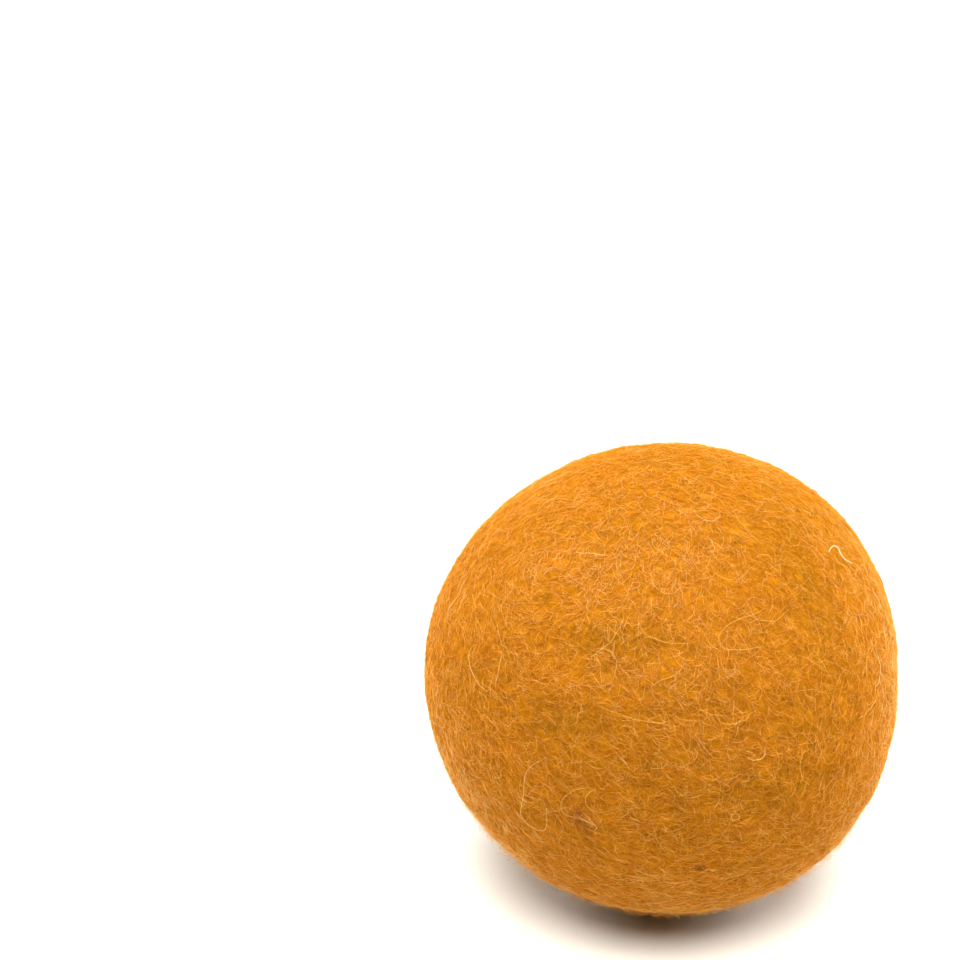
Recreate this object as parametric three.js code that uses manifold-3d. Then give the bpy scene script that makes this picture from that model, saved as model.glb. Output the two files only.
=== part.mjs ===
// A wet-felted wool dryer ball, in millimetres, +Z up, standing on z = 0 with its middle on the Z axis.
//
// It is wool all the way through. A carded strip is rolled up into a small core. More strips are wound round
// that, each one a single turn with feathered ends that lap, and each at right angles to the one before, so that
// it covers the holes where the last one's edges gather. The inner wraps are undyed and the outer ones are dyed.
// Two tufts close the gathered holes of the last wrap. Felting mats the wraps together and leaves no seam.
//
// The real wraps touch. These keep a small gap, so that each one is a solid of its own.

import * as THREE from "three";
import { mergeVertices } from "three/addons/utils/BufferGeometryUtils.js";
import Module from "manifold-3d";

// Driving dimensions.
const BALL_RADIUS = 35; // mean radius of the felted surface
const CORE_RADIUS = 12; // the rolled-up strip at the middle
const UNDYED_WRAPS = 4;
const DYED_WRAPS = 3;
const GAP = 0.5; // between one piece and the next
const FEATHER = 0.7; // thickness that a wrap's two ends thin out to
const LAP = 36; // degrees over which a wrap's ends lie on each other
const LIFT = 12; // degrees over which a wrap climbs onto its own start
const GATHER_HOLE = 3.6; // mean radius of the hole where a wrap's edge gathers
const GATHERS = 8; // pleats round that hole
const GATHER_DEPTH = 0.1; // their depth, as a share of the hole's radius
const SETTLE = 0.7; // how far the wool gives under the ball's own weight
const CORE_STRIP = 2.6; // thickness of the core's strip
const CORE_TURN_GAP = 0.4; // between the turns of the core

// A hand-rolled ball isn't quite round. It has broad, low swellings and flats, and each has a direction, a
// height as a share of the radius, and a width in degrees.
const SWELLINGS = [
  { towards: [0.64, -0.38, -0.67], height: 0.017, width: 26 },
  { towards: [-0.98, -0.04, 0.2], height: 0.016, width: 27 },
  { towards: [0.7, 0.16, 0.69], height: 0.017, width: 26 },
  { towards: [-0.34, 0.24, 0.91], height: -0.017, width: 30 },
  { towards: [-0.64, -0.38, -0.67], height: -0.009, width: 26 },
  { towards: [1, -0.1, 0.04], height: -0.014, width: 20 },
  { towards: [0.3, 0.9, 0.3], height: 0.009, width: 30 },
  { towards: [-0.6, 0.75, -0.3], height: -0.009, width: 28 },
].map((s) => ({ ...s, towards: new THREE.Vector3(...s.towards).normalize() }));

// Facets, in degrees round a wrap and in steps from one gathered hole to the other.
const FINE = { turnStep: 9, acrossSteps: 18 };
const MEDIUM = { turnStep: 12, acrossSteps: 11 };
const COARSE = { turnStep: 12, acrossSteps: 9 };

const WRAPS = UNDYED_WRAPS + DYED_WRAPS;
const WRAP_PITCH = (BALL_RADIUS - CORE_RADIUS) / WRAPS;
const TURN = 360;
const rad = THREE.MathUtils.degToRad;

// The three directions that wraps are wound about, in turn. A wrap is made about its own Z axis.
const WINDING_TURNS = [
  new THREE.Euler(0, rad(90), 0), // about X
  new THREE.Euler(rad(-90), 0, 0), // about Y
  new THREE.Euler(0, 0, 0), // about Z
];
const SEAM_STAGGER = 137.5; // degrees from one wrap's lap to the next one's

const dyedWool = new THREE.MeshStandardMaterial({ color: 0xd9822b, roughness: 0.95, metalness: 0 });
const undyedWool = new THREE.MeshStandardMaterial({ color: 0xe6dcc6, roughness: 0.95, metalness: 0 });

const wasm = await Module();
wasm.setup();

// The ball's radius in a direction, as a share of its mean radius.
function roundness(direction) {
  let share = 1;
  for (const { towards, height, width } of SWELLINGS) {
    const away = direction.angleTo(towards) / rad(width);
    share += height * Math.exp(-away * away);
  }
  return share;
}

// A closed geometry as a manifold-3d solid.
function solidOf(geometry) {
  const bare = geometry.index ? geometry.toNonIndexed() : geometry.clone();
  bare.deleteAttribute("normal");
  bare.deleteAttribute("uv");
  const merged = mergeVertices(bare, 1e-4);
  return new wasm.Manifold(
    new wasm.Mesh({
      numProp: 3,
      vertProperties: merged.attributes.position.array,
      triVerts: new Uint32Array(merged.index.array),
    }),
  );
}

// A manifold-3d solid as a geometry.
function geometryOf(solid) {
  const { vertProperties, triVerts } = solid.getMesh();
  const geometry = new THREE.BufferGeometry();
  geometry.setAttribute("position", new THREE.BufferAttribute(new Float32Array(vertProperties), 3));
  geometry.setIndex(new THREE.BufferAttribute(new Uint32Array(triVerts), 1));
  geometry.computeVertexNormals();
  return geometry;
}

// The radii between which a wrap's wool lies at an angle along its strip, from its start at 0 to its end at
// TURN + LAP. The start thickens from a feather edge, and the end thins to one on top of it.
function strandRadii(inner, outer, angle) {
  const climb = outer - inner - GAP - 2 * FEATHER;
  const lapStart = inner + FEATHER;
  const lapEnd = lapStart + climb;
  const ramp = (at, from) => THREE.MathUtils.clamp((at - from) / LIFT, 0, 1);
  if (angle <= LAP) return [inner, lapStart + (climb * angle) / LAP];
  if (angle >= TURN) return [lapStart + GAP + (climb * (angle - TURN)) / LAP, outer];
  return [
    THREE.MathUtils.lerp(inner, lapStart + GAP, ramp(angle, TURN - LIFT)),
    THREE.MathUtils.lerp(lapEnd, outer, ramp(angle, LAP)),
  ];
}

// One strip wound about its own Z axis. orientation turns it to its place in the ball, which is where the
// ball's own shape is read.
function wrapGeometry(inner, outer, orientation, { turnStep, acrossSteps }) {
  const turnSteps = (TURN + LAP) / turnStep;
  const positions = [];
  const indices = [];
  const point = new THREE.Vector3();
  const at = (i, j, side) => (i * (acrossSteps + 1) + j) * 2 + side;
  for (let i = 0; i <= turnSteps; i++) {
    const angle = i * turnStep;
    const hole = (GATHER_HOLE / outer) * (1 + GATHER_DEPTH * Math.cos(GATHERS * rad(angle)));
    const radii = strandRadii(inner, outer, angle);
    for (let j = 0; j <= acrossSteps; j++) {
      const polar = THREE.MathUtils.lerp(hole, Math.PI - hole, j / acrossSteps);
      for (const radius of radii) {
        point.setFromSphericalCoords(1, polar, rad(angle)); // three.js puts the pole on Y
        point.set(point.z, point.x, point.y);
        const share = roundness(point.clone().applyQuaternion(orientation));
        positions.push(...point.multiplyScalar(radius * share).toArray());
      }
    }
  }
  const quad = (a, b, c, d) => indices.push(a, b, c, a, c, d);
  for (let i = 0; i < turnSteps; i++) {
    for (let j = 0; j < acrossSteps; j++) {
      quad(at(i, j, 1), at(i, j + 1, 1), at(i + 1, j + 1, 1), at(i + 1, j, 1));
      quad(at(i, j, 0), at(i + 1, j, 0), at(i + 1, j + 1, 0), at(i, j + 1, 0));
    }
    quad(at(i, 0, 0), at(i, 0, 1), at(i + 1, 0, 1), at(i + 1, 0, 0));
    const last = acrossSteps;
    quad(at(i, last, 0), at(i + 1, last, 0), at(i + 1, last, 1), at(i, last, 1));
  }
  for (let j = 0; j < acrossSteps; j++) {
    quad(at(0, j, 0), at(0, j + 1, 0), at(0, j + 1, 1), at(0, j, 1));
    const end = turnSteps;
    quad(at(end, j, 0), at(end, j, 1), at(end, j + 1, 1), at(end, j + 1, 0));
  }
  const geometry = new THREE.BufferGeometry();
  geometry.setAttribute("position", new THREE.Float32BufferAttribute(positions, 3));
  geometry.setIndex(indices);
  geometry.computeVertexNormals();
  return geometry;
}

// The core: a strip rolled up about X like a bandage, and rounded off to a ball.
function coreGeometry() {
  const ballSegments = [20, 14];
  const stepsPerTurn = 18;
  const pitch = CORE_STRIP + CORE_TURN_GAP;
  const bore = 0.5; // radius of the first turn's inside
  const turns = (CORE_RADIUS - CORE_STRIP / 2 - bore) / pitch;
  const steps = Math.round(turns * stepsPerTurn);
  const spiral = (grow) =>
    Array.from({ length: steps + 1 }, (_, i) => {
      const angle = (i / stepsPerTurn) * 2 * Math.PI;
      const radius = bore + (pitch * i) / stepsPerTurn + grow;
      return new THREE.Vector2(radius * Math.cos(angle), radius * Math.sin(angle));
    });
  const outline = new THREE.Shape([...spiral(CORE_STRIP), ...spiral(0).reverse()]);
  const length = 3 * CORE_RADIUS;
  const roll = new THREE.ExtrudeGeometry(outline, { depth: length, bevelEnabled: false, curveSegments: 1 });
  roll.translate(0, 0, -length / 2).rotateY(rad(90));
  const ball = new THREE.SphereGeometry(CORE_RADIUS, ...ballSegments);
  return geometryOf(solidOf(roll).intersect(solidOf(ball)));
}

// A tuft of dyed wool that fills a gathered hole of the last wrap. It is made on +Z.
function tuftGeometry(inner, outer, orientation) {
  const radius = GATHER_HOLE * (1 - GATHER_DEPTH) - GAP;
  const sides = 14;
  const domeSteps = 3;
  const share = roundness(new THREE.Vector3(0, 0, 1).applyQuaternion(orientation));
  const bottom = Math.sqrt(inner * inner - radius * radius) * share;
  const dome = Array.from({ length: domeSteps + 1 }, (_, i) => {
    const across = radius * (1 - i / domeSteps);
    return new THREE.Vector2(across, Math.sqrt(outer * outer - across * across) * share);
  });
  const foot = [new THREE.Vector2(0, bottom), new THREE.Vector2(radius, bottom)];
  return new THREE.LatheGeometry([...foot, ...dome], sides).rotateX(rad(90));
}

// Cuts a mesh off flat at the floor, in its place in the ball.
function restOnFloor(mesh, ball) {
  const side = 4 * BALL_RADIUS;
  const floor = new THREE.BoxGeometry(side, side, side).translate(0, 0, -side / 2);
  ball.updateMatrixWorld(true);
  floor.applyMatrix4(mesh.matrixWorld.clone().invert());
  mesh.geometry = geometryOf(solidOf(mesh.geometry).subtract(solidOf(floor)));
}

function named(name, geometry, material) {
  const mesh = new THREE.Mesh(geometry, material);
  mesh.name = name;
  return mesh;
}

const ball = new THREE.Group();
ball.position.z = BALL_RADIUS * roundness(new THREE.Vector3(0, 0, -1)) - SETTLE;
ball.add(named("core_roll", coreGeometry(), undyedWool));

for (let i = 0; i < WRAPS; i++) {
  const dyed = i >= UNDYED_WRAPS;
  const last = i === WRAPS - 1;
  const inner = CORE_RADIUS + i * WRAP_PITCH + GAP;
  const outer = CORE_RADIUS + (i + 1) * WRAP_PITCH;
  const winding = new THREE.Quaternion().setFromEuler(WINDING_TURNS[i % WINDING_TURNS.length]);
  const seam = new THREE.Quaternion().setFromAxisAngle(new THREE.Vector3(0, 0, 1), rad(i * SEAM_STAGGER));
  const orientation = winding.clone().multiply(seam);
  const facets = last ? FINE : dyed ? MEDIUM : COARSE;
  const name = dyed ? `dyed_wrap_${i - UNDYED_WRAPS + 1}` : `undyed_wrap_${i + 1}`;
  const wrap = named(name, wrapGeometry(inner, outer, orientation, facets), dyed ? dyedWool : undyedWool);
  wrap.quaternion.copy(orientation);
  ball.add(wrap);
  if (!last) continue;
  restOnFloor(wrap, ball);
  const flip = new THREE.Quaternion().setFromAxisAngle(new THREE.Vector3(1, 0, 0), Math.PI);
  for (const [side, facing] of [
    ["right", winding],
    ["left", winding.clone().multiply(flip)],
  ]) {
    const tuft = named(`closing_tuft_${side}`, tuftGeometry(inner, outer, facing), dyedWool);
    tuft.quaternion.copy(facing);
    ball.add(tuft);
  }
}

// The origin is under the middle of the ball's bounding box.
const middle = new THREE.Box3().setFromObject(ball, true).getCenter(new THREE.Vector3());
ball.position.x -= middle.x;
ball.position.y -= middle.y;

export default ball;
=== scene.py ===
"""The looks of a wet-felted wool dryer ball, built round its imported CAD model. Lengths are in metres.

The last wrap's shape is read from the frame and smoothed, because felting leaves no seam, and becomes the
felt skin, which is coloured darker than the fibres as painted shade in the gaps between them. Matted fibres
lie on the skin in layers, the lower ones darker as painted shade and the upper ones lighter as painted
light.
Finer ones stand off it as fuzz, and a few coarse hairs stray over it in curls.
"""

import math

import bpy
import numpy as np
from mathutils import Euler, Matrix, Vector
from mathutils.bvhtree import BVHTree


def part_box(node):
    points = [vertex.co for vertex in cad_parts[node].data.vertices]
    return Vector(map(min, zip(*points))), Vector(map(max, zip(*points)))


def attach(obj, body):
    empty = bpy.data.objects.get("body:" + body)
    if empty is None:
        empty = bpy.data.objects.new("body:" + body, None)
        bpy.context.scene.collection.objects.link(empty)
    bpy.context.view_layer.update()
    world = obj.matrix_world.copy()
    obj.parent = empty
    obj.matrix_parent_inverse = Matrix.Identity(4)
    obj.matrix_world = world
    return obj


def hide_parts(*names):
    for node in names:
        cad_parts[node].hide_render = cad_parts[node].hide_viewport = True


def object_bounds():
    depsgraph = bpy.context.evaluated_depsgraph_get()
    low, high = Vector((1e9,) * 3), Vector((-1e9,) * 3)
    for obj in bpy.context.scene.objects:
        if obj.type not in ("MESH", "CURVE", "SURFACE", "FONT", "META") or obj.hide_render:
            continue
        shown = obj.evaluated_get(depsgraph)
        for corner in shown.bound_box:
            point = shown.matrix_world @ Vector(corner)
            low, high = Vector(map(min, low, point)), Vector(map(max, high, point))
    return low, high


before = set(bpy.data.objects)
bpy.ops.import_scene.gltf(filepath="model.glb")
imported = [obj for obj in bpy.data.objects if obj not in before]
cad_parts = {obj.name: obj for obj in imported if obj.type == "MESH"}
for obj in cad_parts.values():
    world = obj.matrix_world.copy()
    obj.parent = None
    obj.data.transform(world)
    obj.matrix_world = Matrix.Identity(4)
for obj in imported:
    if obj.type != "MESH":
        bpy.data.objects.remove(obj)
CAD_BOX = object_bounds()

MM = 0.001
OUTER_NODES = ("dyed_wrap_3", "closing_tuft_left", "closing_tuft_right")
CENTRE = np.array(sum(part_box("core_roll"), Vector()) / 2)
DIAMETER = sum(CAD_BOX[1] - CAD_BOX[0]) / 3
SEED = 7

# The camera looks along +Y and down. The ball's centre from it, in ball diameters: right, up, ahead.
LENS = 80.2
SENSOR = 36
LOOK_DOWN = math.radians(21.5)
BALL_FROM_CAMERA = (0.388, -0.422, 4.575)

# The felt's relief: (wavelength, height) of each size of lump, as a random wave field's spread.
RELIEF = ((9 * MM, 0.055 * MM), (3.2 * MM, 0.04 * MM), (1.3 * MM, 0.025 * MM))
WAVES_PER_FIELD = 40
FLOOR_SOFTNESS = 0.12 * MM

# How the ball's own shape is read from the last wrap: by rays cast at it, less those that land on the flat
# patch it rests on or slip in at a seam. Smooth shapes of these degrees are fitted to the rest.
FIT_RAYS = 6000
PATCH_TOP = 1 * MM
SEAM_RADIUS = 0.45 * DIAMETER
FIT_DEGREES = (5, 6)

# The felt skin lies this far under the matted fibres' own surface.
SKIN_DEPTH = 0.25 * MM

# Which way the wool lies: towards a side of the ball, it was wound about an axis.
WOOL_LIES = (
    ((-0.5, -0.8, -0.2), (0.1, 0.1, 1.0)),
    ((0.2, -0.8, -0.6), (-0.1, 0.2, 1.0)),
    ((0.8, -0.5, 0.3), (1.0, 0.4, -0.2)),
    ((0.1, -0.5, 0.9), (0.8, 0.2, 0.5)),
    ((0.3, 0.9, 0.1), (0.9, 0.1, 0.6)),
    ((-0.7, 0.6, 0.4), (0.1, 0.9, -0.5)),
)
LIE_WIDTH = math.radians(38)

# Hairs that stand out: where each starts, in degrees round from the front and up, its length in mm, its
# paleness, and its headings in degrees from level, to the nearest 5 and evenly spaced along it.
NOTABLE_HAIRS = (
    (60, 46, 6, 1.0, (20, -10, -120, -55, -45)),
    (24, 40, 15, 0.45, (-155, -175, -160, -125, -10, 0, 5)),
    (27, 50, 4.5, 0.35, (-165, -150, -140)),
    (12, 58, 3, 0.55, (-45, -95, -210)),
    (-58, 23, 8.5, 0.55, (-130, -60, -35, -15, -10)),
    (-32, 4, 20, 0.6, (-150, -125, -105, -95, -100, -105, -60, 0, 60, 90, 95)),
    (-20, 0, 10, 0.5, (175, 220, 240, 330, 370)),
    (-19, 0, 5, 0.5, (200, 250, 300, 330)),
    (-19, 19, 9.5, 0.35, (-10, -15, -5, 20)),
    (-72, -26, 9, 0.6, (-10, 25, 40)),
    (-65, -36, 4.5, 0.9, (-80, -50, -20)),
    (-3, -27, 6.5, 0.5, (15, -10, -50)),
    (10, -31, 9.5, 0.5, (75, 40, 15, 5)),
    (-4, -5, 6.5, 0.3, (-125, -85, -40)),
    (-48, -47, 8.5, 0.6, (-45, 30, 60)),
)

# Spots of other fibres caught in the felt: turn and height in degrees, radius in mm, count, length in mm,
# and shade.
SPOTS = (
    (6, -22, 0.5, 34, 0.9, 0.35),
    (-22, -9, 1.9, 34, 2.4, 0.75),
    (-50, 4, 1.6, 8, 2.2, 0.85),
)

# Where the mat is a little darker: turn and height in degrees, half-width, half-height, and by how much. The
# first three are darker patches in the wool; the last four are painted shade, right of the front, in the
# middle of the front, on the upper right and all round the top.
DARKER_AND_PAINTED_SHADE = (
    (-16, 33, 13, 3.0, 0.45),
    (-30, 13, 16, 5.0, 0.25),
    (44, 42, 7, 13.0, 0.30),
    (20, -3, 20, 5.0, 0.15),
    (34, 16, 16, 16, 0.10),
    (8, 6, 22, 14, 0.07),
    (75, 50, 30, 20, 0.14),
    (0, 95, 400, 22, 0.14),
)

# Where the wool is painted paler, in the same terms: a painted highlight high on the left, a painted glow on
# the right rim, and painted bounce light along the lower rim.
PAINTED_LIGHT = (
    (-22, 51, 42, 18, 0.45),
    (68, 6, 13, 40, 0.50),
    (-62, -26, 22, 26, 0.60),
    (54, -28, 18, 20, 0.35),
    (8, -42, 46, 15, 0.40),
)

# The strengths of the ceiling of light and of the room's own light, and that light's warm tint.
SUN = 9.4
ROOM_LIGHT = 0.085
ROOM_TINT = (1.0, 0.84, 0.45)


def unit(vectors):
    return vectors / np.maximum(np.linalg.norm(vectors, axis=-1, keepdims=True), 1e-12)


# ---- the ball's own shape -----------------------------------------------------------------------------


def spread_directions(count):
    """Directions spread evenly over the sphere, in a golden spiral."""
    i = np.arange(count) + 0.5
    z = 1 - 2 * i / count
    turn = i * math.pi * (3 - math.sqrt(5))
    across = np.sqrt(1 - z * z)
    return np.stack([across * np.cos(turn), across * np.sin(turn), z], axis=1)


def smooth_shapes(directions):
    """Every smooth shape of a ball up to the highest degree, one column each."""
    x, y, z = directions.T
    powers = [(a, b, n - a - b) for n in FIT_DEGREES for a in range(n + 1) for b in range(n + 1 - a)]
    return np.stack([x**a * y**b * z**c for a, b, c in powers], axis=1)


def fit_shape():
    """The smoothed shape of the last wrap: how much of each of smooth_shapes() it holds."""
    points, faces = [], []
    for name in OUTER_NODES:
        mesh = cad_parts[name].data
        faces += [[len(points) + v for v in p.vertices] for p in mesh.polygons]
        points += [v.co.copy() for v in mesh.vertices]
    tree = BVHTree.FromPolygons(points, faces)
    directions, radii = [], []
    for direction in spread_directions(FIT_RAYS):
        ray = Vector(direction)
        hit = tree.ray_cast(Vector(CENTRE) + ray * DIAMETER, -ray)[0]
        on_patch = hit is not None and hit.z < PATCH_TOP
        radius = (hit - Vector(CENTRE)).length if hit is not None else 0
        if radius > SEAM_RADIUS and not on_patch:
            directions.append(direction)
            radii.append(radius)
    return np.linalg.lstsq(smooth_shapes(np.array(directions)), np.array(radii), rcond=None)[0]


def wave_field(rng, wavelength, columns=1):
    """A random smooth field in space, with features of about this size and a spread of 1."""
    k = unit(rng.normal(size=(WAVES_PER_FIELD, 3))) * 2 * math.pi / wavelength
    k *= rng.uniform(0.7, 1.3, size=(WAVES_PER_FIELD, 1))
    phase = rng.uniform(0, 2 * math.pi, WAVES_PER_FIELD)
    weights = rng.normal(size=(WAVES_PER_FIELD, columns)) * math.sqrt(2 / WAVES_PER_FIELD)

    def at(points):
        found = np.cos(points @ k.T + phase) @ weights
        return found[:, 0] if columns == 1 else found

    return at


SHAPE = fit_shape()
relief_rng = np.random.default_rng(SEED)
RELIEF_FIELDS = [(wave_field(relief_rng, length), height) for length, height in RELIEF]


def felt_point(directions, lift=0.0):
    """Points of the felt's surface in these directions, or lift above it. The floor stops them, softly."""
    radius = smooth_shapes(directions) @ SHAPE
    points = directions * radius[:, None]
    relief = sum(field(points) * height for field, height in RELIEF_FIELDS)
    points = CENTRE + directions * (radius + relief + lift)[:, None]
    height = points[:, 2] / FLOOR_SOFTNESS
    points[:, 2] = FLOOR_SOFTNESS * np.logaddexp(0, height)
    return points


# ---- meshes -------------------------------------------------------------------------------------------


def mesh_object(name, points, quads, triangles=None):
    """A smooth-shaded piece from arrays of points, quads and triangles."""
    triangles = np.zeros((0, 3), np.int32) if triangles is None else triangles
    mesh = bpy.data.meshes.new(name)
    corners = np.concatenate([quads.ravel(), triangles.ravel()]).astype(np.int32)
    sizes = np.concatenate([np.full(len(quads), 4), np.full(len(triangles), 3)]).astype(np.int32)
    starts = np.concatenate([[0], np.cumsum(sizes)[:-1]]).astype(np.int32)
    mesh.vertices.add(len(points))
    mesh.vertices.foreach_set("co", points.astype(np.float32).ravel())
    mesh.loops.add(len(corners))
    mesh.loops.foreach_set("vertex_index", corners)
    mesh.polygons.add(len(sizes))
    mesh.polygons.foreach_set("loop_start", starts)
    mesh.polygons.foreach_set("use_smooth", np.full(len(sizes), True))
    mesh.update(calc_edges=True)
    mesh.validate()
    piece = bpy.data.objects.new(name, mesh)
    bpy.context.scene.collection.objects.link(piece)
    return piece


def finish_piece(piece, material):
    piece.data.materials.append(material)
    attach(piece, "root")


def cube_sphere(side_steps):
    """Directions and quads of a sphere made from a cube's six faces, with nearly even squares."""
    line = np.tan(np.linspace(-math.pi / 4, math.pi / 4, side_steps + 1))
    u, v = np.meshgrid(line, line, indexing="ij")
    one = np.ones_like(u)
    sides = [(one, u, v), (-one, v, u), (v, one, u), (u, -one, v), (u, v, one), (v, u, -one)]
    i, j = np.meshgrid(np.arange(side_steps), np.arange(side_steps), indexing="ij")
    corner = (i * (side_steps + 1) + j).ravel()
    quad = np.stack([corner, corner + side_steps + 1, corner + side_steps + 2, corner + 1], axis=1)
    points = np.concatenate([np.stack(side, axis=-1).reshape(-1, 3) for side in sides])
    quads = np.concatenate([quad + n * (side_steps + 1) ** 2 for n in range(6)])
    _, first, same = np.unique(np.round(points, 6), axis=0, return_index=True, return_inverse=True)
    return unit(points[first]), same.ravel()[quads]


# Gives a tube that points straight out of the ball a side, too.
NUDGE = 1e-4


def tubes(name, paths, radii, sides, shade, material):
    """Closed tubes along paths[tube, point]. radii is of that shape, and shade is one number per tube."""
    count, rings, _ = paths.shape
    along = unit(np.gradient(paths, axis=1))
    out = unit(paths - CENTRE)
    across = unit(np.cross(along, out) + NUDGE)
    up = np.cross(across, along)
    angle = np.arange(sides) * 2 * math.pi / sides
    ring = (
        np.cos(angle)[:, None] * up[:, :, None, :] + np.sin(angle)[:, None] * across[:, :, None, :]
    ) * radii[:, :, None, None]
    points = (paths[:, :, None, :] + ring).reshape(-1, 3)
    points[:, 2] = np.maximum(points[:, 2], 0)
    start = (np.arange(count) * rings * sides)[:, None, None]
    ring_at = (np.arange(rings - 1) * sides)[None, :, None]
    side = np.arange(sides)[None, None, :]
    after = (side + 1) % sides
    base = start + ring_at
    quads = np.stack([base + side, base + after, base + after + sides, base + side + sides], axis=-1)
    fan = np.arange(1, sides - 1)
    first = start[:, :, 0]
    last = first + (rings - 1) * sides
    starts = np.stack([first + 0 * fan, first + fan + 1, first + fan], axis=-1)
    ends = np.stack([last + 0 * fan, last + fan, last + fan + 1], axis=-1)
    caps = np.concatenate([starts.reshape(-1, 3), ends.reshape(-1, 3)])
    piece = mesh_object(name, points, quads.reshape(-1, 4), caps)
    attribute = piece.data.attributes.new("shade", "FLOAT", "POINT")
    attribute.data.foreach_set("value", np.repeat(shade, rings * sides).astype(np.float32))
    add_map(piece.data, count, rings, sides)
    finish_piece(piece, material)


def add_map(mesh, count, rings, sides):
    """A texture map on which each tube has a cell of its own, with a margin round it."""
    margin = 0.15
    filled = 0.7
    columns = math.ceil(math.sqrt(count))
    tube, ring, side = np.meshgrid(np.arange(count), np.arange(rings), np.arange(sides), indexing="ij")
    across = (tube % columns + margin + filled * ring / (rings - 1)) / columns
    down = (tube // columns + margin + filled * side / (sides - 1)) / columns
    places = np.stack([across, down], axis=-1).reshape(-1, 2)
    corners = np.zeros(len(mesh.loops), np.int32)
    mesh.loops.foreach_get("vertex_index", corners)
    layer = mesh.uv_layers.new(name="OFBake")
    layer.data.foreach_set("uv", places[corners].astype(np.float32).ravel())


# ---- fibres -------------------------------------------------------------------------------------------


def random_directions(rng, count):
    return unit(rng.normal(size=(count, 3)))


swirl_rng = np.random.default_rng(SEED + 1)
SWIRL = wave_field(swirl_rng, 30 * MM, columns=3)


def wool_direction(directions):
    """Which way along the surface the wool lies."""
    axis = 0.35 * SWIRL(directions * DIAMETER / 2)
    for side, about in WOOL_LIES:
        cosine = directions @ unit(np.array(side))
        near = np.exp(-((np.arccos(np.clip(cosine, -1, 1)) / LIE_WIDTH) ** 2))
        axis += near[:, None] * unit(np.array(about))
    return unit(np.cross(axis, directions))


def turned(heading, about, angle):
    """heading turned by an angle about a unit vector that is square to it."""
    return heading * np.cos(angle)[:, None] + np.cross(about, heading) * np.sin(angle)[:, None]


def lay(rng, directions, length, steps, stray_angle, bend, wave, lift):
    """Paths that run over the felt. They leave the wool's own direction by about stray_angle, curve by about
    bend, and wiggle by about wave, all radians. lift(s) is the height over the felt at each share s of the
    way."""
    count = len(directions)
    heading = wool_direction(directions)
    heading = turned(heading, directions, rng.normal(0, 1, count) * stray_angle)
    curve = rng.normal(0, 1, count) * bend / steps
    step = (length / steps / (DIAMETER / 2))[:, None]
    start = unit(directions - heading * step * steps / 2)
    paths = []
    for i in range(steps + 1):
        paths.append(felt_point(start, lift(i / steps)))
        heading = unit(heading - start * np.sum(heading * start, axis=1, keepdims=True))
        heading = turned(heading, start, curve + rng.normal(0, 1, count) * wave)
        start = unit(start + heading * step)
    return np.stack(paths, axis=1)


def towards(turn, up):
    """The direction this many degrees round from the front, towards the right, and up."""
    t, u = math.radians(turn), math.radians(up)
    return np.array([math.sin(t) * math.cos(u), -math.cos(t) * math.cos(u), math.sin(u)])


def trace(turn, up, length, headings, steps, lift):
    """One path over the felt that takes these headings, in degrees from level, evenly spaced along it."""
    at = towards(turn, up)[None]
    share = np.linspace(0, 1, len(headings))
    path = []
    for i in range(steps + 1):
        path.append(felt_point(at, lift[i]))
        level = unit(np.cross((0, 0, 1), at))
        heading = math.radians(np.interp(i / steps, share, headings))
        at = unit(at + turned(level, at, np.array([heading])) * length / steps / (DIAMETER / 2))
    return np.concatenate(path)


def taper(radius, steps, thin=0.35):
    """Radii along a fibre that is thinner at its ends."""
    s = np.linspace(0, 1, steps + 1)
    return radius[:, None] * (thin + (1 - thin) * np.sin(math.pi * s) ** 0.6)[None, :]


# ---- materials ----------------------------------------------------------------------------------------


def node(tree, kind, **values):
    made = tree.nodes.new(kind)
    for name, value in values.items():
        if name in made.inputs:
            made.inputs[name].default_value = value
        else:
            setattr(made, name, value)
    return made


def ramp_of(tree, stops):
    ramp = node(tree, "ShaderNodeValToRGB")
    elements = ramp.color_ramp.elements
    while len(elements) < len(stops):
        elements.new(0.5)
    for element, (place, colour) in zip(elements, stops):
        element.position = place
        element.color = (*colour, 1)
    return ramp


def new_material(name, sheen=0.05, sheen_tint=(1.0, 0.6, 0.35)):
    material = bpy.data.materials.new(name)
    material.use_nodes = True
    tree = material.node_tree
    shader = tree.nodes["Principled BSDF"]
    shader.inputs["Roughness"].default_value = 0.85
    shader.inputs["Specular IOR Level"].default_value = 0.04
    shader.inputs["Sheen Weight"].default_value = sheen
    shader.inputs["Sheen Roughness"].default_value = 0.35
    shader.inputs["Sheen Tint"].default_value = (*sheen_tint, 1)
    return material, tree, shader


def noise_at(tree, scale, detail=3.0, stretch=(1, 1, 1)):
    place = node(tree, "ShaderNodeTexCoord")
    turn = node(tree, "ShaderNodeMapping", Scale=stretch)
    noise = node(tree, "ShaderNodeTexNoise", Scale=scale, Detail=detail)
    tree.links.new(place.outputs["Object"], turn.inputs["Vector"])
    tree.links.new(turn.outputs["Vector"], noise.inputs["Vector"])
    return noise.outputs["Fac"]


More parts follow.
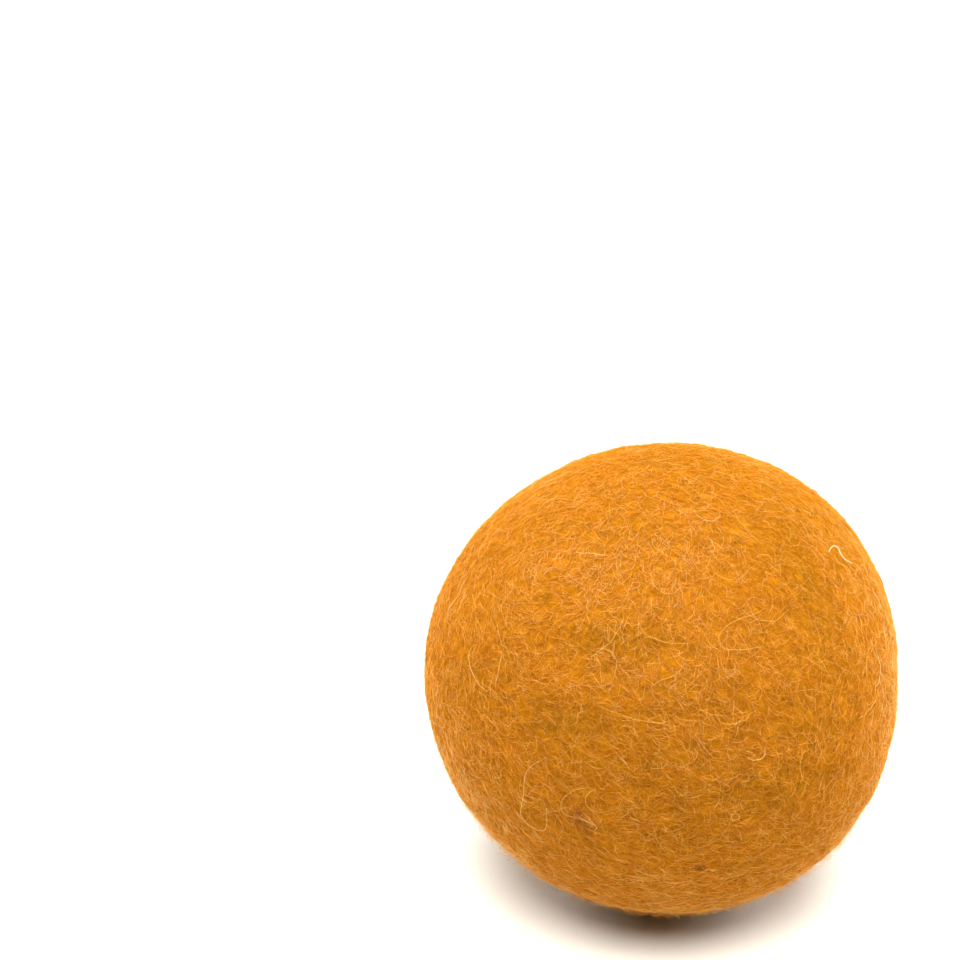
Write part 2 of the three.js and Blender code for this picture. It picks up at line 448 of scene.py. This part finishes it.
# The felt skin's colours, darker than the fibres on it: painted shade in the gaps between them.
FELT_COLOURS = (
    (0.30, (0.27, 0.099, 0.001)),
    (0.50, (0.34, 0.122, 0.001)),
    (0.70, (0.41, 0.146, 0.002)),
)
FIBRE_COLOURS = (
    (0.0, (0.26, 0.108, 0.001)),
    (0.40, (0.43, 0.150, 0.003)),
    (0.72, (0.60, 0.205, 0.015)),
    (0.88, (0.68, 0.275, 0.036)),
    (1.0, (0.78, 0.400, 0.105)),
)
FUZZ_COLOURS = (
    (0.0, (0.54, 0.200, 0.004)),
    (0.6, (0.65, 0.280, 0.027)),
    (1.0, (0.76, 0.440, 0.140)),
)
HAIR_COLOURS = (
    (0.0, (0.56, 0.25, 0.03)),
    (0.5, (0.66, 0.40, 0.10)),
    (1.0, (0.92, 0.82, 0.50)),
)
SPOT_COLOURS = (
    (0.0, (0.06, 0.022, 0.008)),
    (0.5, (0.20, 0.060, 0.020)),
    (1.0, (0.34, 0.085, 0.055)),
)


def felt_material():
    material, tree, shader = new_material("dyed_felt", sheen=0.1)
    ramp = ramp_of(tree, FELT_COLOURS)
    tree.links.new(noise_at(tree, 900, 5), ramp.inputs["Fac"])
    tree.links.new(ramp.outputs["Color"], shader.inputs["Base Color"])
    bump = node(tree, "ShaderNodeBump", Strength=0.6, Distance=0.1 * MM)
    tree.links.new(noise_at(tree, 2600, 4), bump.inputs["Height"])
    tree.links.new(bump.outputs["Normal"], shader.inputs["Normal"])
    return material


def fibre_material(name, colours, patch=0.28, **sheen):
    """Each fibre has its own shade, and so has each patch of the ball."""
    material, tree, shader = new_material(name, **sheen)
    own = node(tree, "ShaderNodeAttribute", attribute_name="shade")
    shift = node(tree, "ShaderNodeMath", operation="MULTIPLY_ADD")
    shift.inputs[1].default_value = patch
    tree.links.new(noise_at(tree, 1, 4, stretch=(80, 80, 230)), shift.inputs[0])
    tree.links.new(own.outputs["Fac"], shift.inputs[2])
    middle = node(tree, "ShaderNodeMath", operation="SUBTRACT")
    middle.inputs[1].default_value = patch / 2
    tree.links.new(shift.outputs[0], middle.inputs[0])
    ramp = ramp_of(tree, colours)
    tree.links.new(middle.outputs[0], ramp.inputs["Fac"])
    tree.links.new(ramp.outputs["Color"], shader.inputs["Base Color"])
    return material


def wool_material():
    material, tree, shader = new_material("undyed_wool")
    ramp = ramp_of(tree, ((0.3, (0.52, 0.43, 0.28)), (0.7, (0.78, 0.70, 0.54))))
    tree.links.new(noise_at(tree, 700, 5), ramp.inputs["Fac"])
    tree.links.new(ramp.outputs["Color"], shader.inputs["Base Color"])
    shader.inputs["Sheen Tint"].default_value = (1, 0.95, 0.85, 1)
    return material


# ---- the pieces ---------------------------------------------------------------------------------------

DYED = felt_material()
UNDYED = wool_material()
FIBRE = fibre_material("matted_fibre", FIBRE_COLOURS)
FUZZ = fibre_material("fuzz", FUZZ_COLOURS, sheen=0.25, sheen_tint=(1.0, 0.75, 0.55))
HAIR = fibre_material("coarse_hair", HAIR_COLOURS, patch=0.1)
SPOT = fibre_material("other_fibre", SPOT_COLOURS, patch=0.1)

SKIN_STEPS = 128
MAT_LAYERS = 15
FIBRES_PER_LAYER = 5200
FUZZ_PIECES = 5
FUZZ_PER_PIECE = 7500
HALO_HAIRS = 4400
STRAYS = 420


def make_skin():
    directions, quads = cube_sphere(SKIN_STEPS)
    skin = mesh_object("felt_skin", felt_point(directions, -SKIN_DEPTH), quads)
    finish_piece(skin, DYED)
    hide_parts(*OUTER_NODES)


def patches(directions, places):
    """How much of DARKER_AND_PAINTED_SHADE or PAINTED_LIGHT there is in these directions."""
    turn = np.degrees(np.arctan2(directions[:, 0], -directions[:, 1]))
    up = np.degrees(np.arcsin(np.clip(directions[:, 2], -1, 1)))
    return sum(
        depth * np.exp(-(((turn - t) / wide) ** 2) - ((up - u) / high) ** 2)
        for t, u, wide, high, depth in places
    )


def make_mat():
    """Matted fibres in layers, from deep and dark to high and light: painted shade low in the mat and
    painted light at its top.
    """
    steps = 6
    for layer in range(MAT_LAYERS):
        rng = np.random.default_rng(SEED + 100 + layer)
        high = layer / (MAT_LAYERS - 1)
        count = FIBRES_PER_LAYER
        directions = random_directions(rng, count)
        length = rng.uniform(1.8, 4.2, count) * MM
        crest = rng.uniform(-0.18, -0.08, count) * MM + high * 0.16 * MM
        dip = rng.uniform(0.06, 0.16, count) * MM
        paths = lay(
            rng,
            directions,
            length,
            steps,
            stray_angle=rng.choice([0.25, 0.35, 1.2], count),
            bend=rng.choice([0.6, 1.1, 2.6], count),
            wave=0.22,
            lift=lambda s: crest - dip * (2 * s - 1) ** 2,
        )
        radii = taper(rng.uniform(0.016, 0.032, count) * MM, steps)
        # Some of the darker patches are the wool's own; the others are painted shade at the top, on the
        # upper right and on the front.
        # The shade rises with the layer's height, and pale fibres come only in the upper layers: painted
        # shade deep in the mat, painted light and highlights at its top.
        shade = rng.normal(0.36 + 0.2 * high, 0.17, count) - patches(directions, DARKER_AND_PAINTED_SHADE)
        shade += high * rng.exponential(0.08, count) + 0.35 * (rng.uniform(size=count) < 0.07 * high)
        # The paler patches are painted light: a highlight high on the left and a glow on the rims.
        shade += 0.35 * high * patches(directions, PAINTED_LIGHT)
        tubes(f"felt_fibres_{layer + 1}", paths, radii, 3, np.clip(shade, 0, 1), FIBRE)


def make_fuzz():
    """Fine hairs with one end in the felt and the other standing off it."""
    steps = 4
    for i in range(FUZZ_PIECES):
        rng = np.random.default_rng(SEED + 200 + i)
        count = FUZZ_PER_PIECE
        directions = random_directions(rng, count)
        length = rng.uniform(0.9, 2.6, count) * MM
        top = np.abs(rng.normal(0, 0.55, count)) * MM + 0.1 * MM
        lean = rng.uniform(0.7, 1.5, count)
        paths = lay(
            rng,
            directions,
            length,
            steps,
            stray_angle=rng.choice([0.35, 0.6, 1.3], count),
            bend=rng.choice([0.5, 1.1, 2.2], count),
            wave=0.2,
            lift=lambda s: top * s**lean - 0.05 * MM,
        )
        radii = taper(rng.uniform(0.009, 0.017, count) * MM, steps, 0.5)
        # The paler patches are painted light: a highlight high on the left and a glow on the rims.
        shade = np.clip(rng.normal(0.45, 0.25, count) + patches(directions, PAINTED_LIGHT), 0, 1)
        tubes(f"fuzz_{i + 1}", paths, radii, 3, shade, FUZZ)


def make_halo():
    """Thicker hairs that arch out of the felt, and show against the background all round the ball."""
    steps = 5
    rng = np.random.default_rng(SEED + 250)
    directions = random_directions(rng, HALO_HAIRS)
    length = rng.uniform(1.2, 3.2, HALO_HAIRS) * MM
    top = rng.gamma(2.0, 0.26, HALO_HAIRS) * MM
    landing = rng.uniform(0.5, 1.1, HALO_HAIRS)
    paths = lay(
        rng,
        directions,
        length,
        steps,
        stray_angle=1.2,
        bend=2.0,
        wave=0.35,
        lift=lambda s: np.minimum(top, 1.25 * MM) * np.sin(math.pi * s * landing) - 0.04 * MM,
    )
    radii = taper(rng.uniform(0.012, 0.021, HALO_HAIRS) * MM, steps, 0.5)
    # The paler patches are painted light: a highlight high on the left and a glow on the rims.
    shade = np.clip(rng.normal(0.45, 0.25, HALO_HAIRS) + patches(directions, PAINTED_LIGHT), 0, 1)
    tubes("halo_hairs", paths, radii, 3, shade, FUZZ)


def make_strays():
    """Coarse undyed hairs that curl over the surface."""
    steps = 26
    rng = np.random.default_rng(SEED + 300)
    directions = random_directions(rng, STRAYS)
    length = rng.uniform(2.5, 9, STRAYS) * MM
    top = rng.uniform(0.0, 0.6, STRAYS) * MM
    humps = rng.uniform(0.6, 2.2, STRAYS)
    paths = lay(
        rng,
        directions,
        length,
        steps,
        stray_angle=0.9,
        bend=1.9,
        wave=0.14,
        lift=lambda s: 0.02 * MM + top * np.abs(np.sin(math.pi * s * humps)),
    )
    radii = taper(rng.uniform(0.012, 0.026, STRAYS) * MM, steps, 0.6)
    shade = rng.beta(1.2, 3.5, STRAYS)
    tubes("stray_hairs", paths, radii, 5, shade, HAIR)


def make_notable_hairs():
    """The hairs that stand out one by one."""
    steps = 40
    rng = np.random.default_rng(SEED + 400)
    s = np.linspace(0, 1, steps + 1)
    paths = []
    for turn, up, length, _, headings in NOTABLE_HAIRS:
        lift = (0.06 + rng.uniform(0.1, 0.5) * np.abs(np.sin(math.pi * s * rng.uniform(1, 3)))) * MM
        paths.append(trace(turn, up, length * MM, headings, steps, lift))
    pale = np.array([hair[3] for hair in NOTABLE_HAIRS])
    radii = taper((0.013 + 0.032 * pale**1.5) * MM, steps, 0.6)
    tubes("notable_hairs", np.array(paths), radii, 5, pale, HAIR)


def make_spots():
    """Small tangles of darker fibres that were carded in with the wool."""
    steps = 6
    rng = np.random.default_rng(SEED + 500)
    directions, length, shade = [], [], []
    for turn, up, radius, count, long, tone in SPOTS:
        scatter = rng.normal(size=(count, 3)) * radius * MM / (DIAMETER / 2) * (1, 1, 0.6)
        directions.append(unit(towards(turn, up) + scatter))
        length.append(rng.uniform(0.6, 1.4, count) * long * MM)
        shade.append(np.clip(rng.normal(tone, 0.12, count), 0, 1))
    directions = np.concatenate(directions)
    paths = lay(
        rng,
        directions,
        np.concatenate(length),
        steps,
        stray_angle=0.8,
        bend=2.0,
        wave=0.3,
        lift=lambda s: (0.05 - 0.1 * (2 * s - 1) ** 2) * MM,
    )
    radii = taper(rng.uniform(0.018, 0.034, len(directions)) * MM, steps)
    tubes("dark_fibres", paths, radii, 3, np.concatenate(shade), SPOT)


def make_wraps():
    """The core roll and the wraps inside, with the lumps of loosely felted wool. Only a cut shows them."""
    rng = np.random.default_rng(SEED + 600)
    lumps = wave_field(rng, 5 * MM)
    knots = wave_field(rng, 1.8 * MM)
    for name, cad in list(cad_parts.items()):
        if name in OUTER_NODES:
            continue
        dyed = name.startswith("dyed")
        shape = cad.modifiers.new("finer", "SUBSURF")
        shape.subdivision_type = "SIMPLE"
        shape.levels = shape.render_levels = 2
        mesh = bpy.data.meshes.new_from_object(cad.evaluated_get(bpy.context.evaluated_depsgraph_get()))
        cad.modifiers.remove(shape)
        count = len(mesh.vertices)
        points, normals = np.zeros((2, count * 3), np.float32)
        mesh.vertices.foreach_get("co", points)
        mesh.vertex_normals.foreach_get("vector", normals)
        points, normals = points.reshape(-1, 3), normals.reshape(-1, 3)
        raised = np.clip(0.05 * lumps(points) + 0.03 * knots(points), -0.15, 0.15) * MM
        points = points + normals * raised[:, None]
        points[:, 2] = np.maximum(points[:, 2], 0.3 * MM)
        mesh.vertices.foreach_set("co", points.astype(np.float32).ravel())
        mesh.polygons.foreach_set("use_smooth", np.full(len(mesh.polygons), True))
        mesh.materials.clear()
        wool = bpy.data.objects.new(f"wool_{name}", mesh)
        bpy.context.scene.collection.objects.link(wool)
        wool.matrix_world = cad.matrix_world.copy()
        finish_piece(wool, DYED if dyed else UNDYED)
        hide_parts(name)


# ---- floor, light and camera --------------------------------------------------------------------------


def make_floor():
    mesh = bpy.data.meshes.new("floor")
    half = 3.0
    corners = [(-half, -half, 0), (half, -half, 0), (half, half, 0), (-half, half, 0)]
    mesh.from_pydata(corners, [], [(0, 1, 2, 3)])
    floor = bpy.data.objects.new("floor", mesh)
    bpy.context.scene.collection.objects.link(floor)
    material = bpy.data.materials.new("white_floor")
    material.use_nodes = True
    shader = material.node_tree.nodes["Principled BSDF"]
    shader.inputs["Base Color"].default_value = (0.80, 0.79, 0.72, 1)
    shader.inputs["Roughness"].default_value = 0.9
    shader.inputs["Specular IOR Level"].default_value = 0.1
    mesh.materials.append(material)


def place_light(light, turn, up, distance):
    lamp = bpy.data.objects.new(light.name, light)
    bpy.context.scene.collection.objects.link(lamp)
    out = Vector(towards(turn, up))
    lamp.location = Vector(CENTRE) + out * distance
    lamp.rotation_euler = out.to_track_quat("Z", "Y").to_euler()


def area_light(name, turn, up, distance, size, power):
    """A square light facing the ball."""
    light = bpy.data.lights.new(name, "AREA")
    light.size = size
    light.energy = power
    place_light(light, turn, up, distance)


def sky_light(name, turn, up, width, strength):
    """A very large and distant soft light, this many degrees wide."""
    light = bpy.data.lights.new(name, "SUN")
    light.angle = math.radians(width)
    light.energy = strength
    place_light(light, turn, up, 1.0)


def make_lights():
    """A dim warm room, which the camera sees as pure white, a ceiling of light, and a light on each rim."""
    world = bpy.data.worlds.new("studio")
    bpy.context.scene.world = world
    world.use_nodes = True
    tree = world.node_tree
    room = tree.nodes["Background"]
    room.inputs["Color"].default_value = (*ROOM_TINT, 1)
    room.inputs["Strength"].default_value = ROOM_LIGHT
    backdrop = node(tree, "ShaderNodeBackground", Color=(1, 1, 1, 1), Strength=1.0)
    seen = node(tree, "ShaderNodeLightPath")
    mix = node(tree, "ShaderNodeMixShader")
    tree.links.new(seen.outputs["Is Camera Ray"], mix.inputs["Fac"])
    tree.links.new(room.outputs["Background"], mix.inputs[1])
    tree.links.new(backdrop.outputs["Background"], mix.inputs[2])
    tree.links.new(mix.outputs["Shader"], tree.nodes["World Output"].inputs["Surface"])
    sky_light("ceiling", turn=-4, up=77, width=64, strength=SUN)
    area_light("rim_right", turn=102, up=26, distance=0.9, size=0.5, power=7)
    area_light("rim_left", turn=-112, up=26, distance=0.9, size=0.5, power=5.5)


def make_camera():
    camera = bpy.data.cameras.new("camera")
    camera.lens = LENS
    camera.sensor_width = SENSOR
    holder = bpy.data.objects.new("camera", camera)
    bpy.context.scene.collection.objects.link(holder)
    turn = Euler((math.pi / 2 - LOOK_DOWN, 0, 0)).to_matrix()
    right, up, ahead = BALL_FROM_CAMERA
    holder.location = Vector(CENTRE) - turn @ Vector((right, up, -ahead)) * DIAMETER
    holder.rotation_euler = turn.to_euler()
    bpy.context.scene.camera = holder


def set_colour_management():
    settings = bpy.context.scene.view_settings
    settings.view_transform = "Standard"
    settings.look = "None"


make_camera()
make_skin()
make_mat()
make_fuzz()
make_halo()
make_strays()
make_notable_hairs()
make_spots()
make_wraps()
make_floor()
make_lights()
set_colour_management()
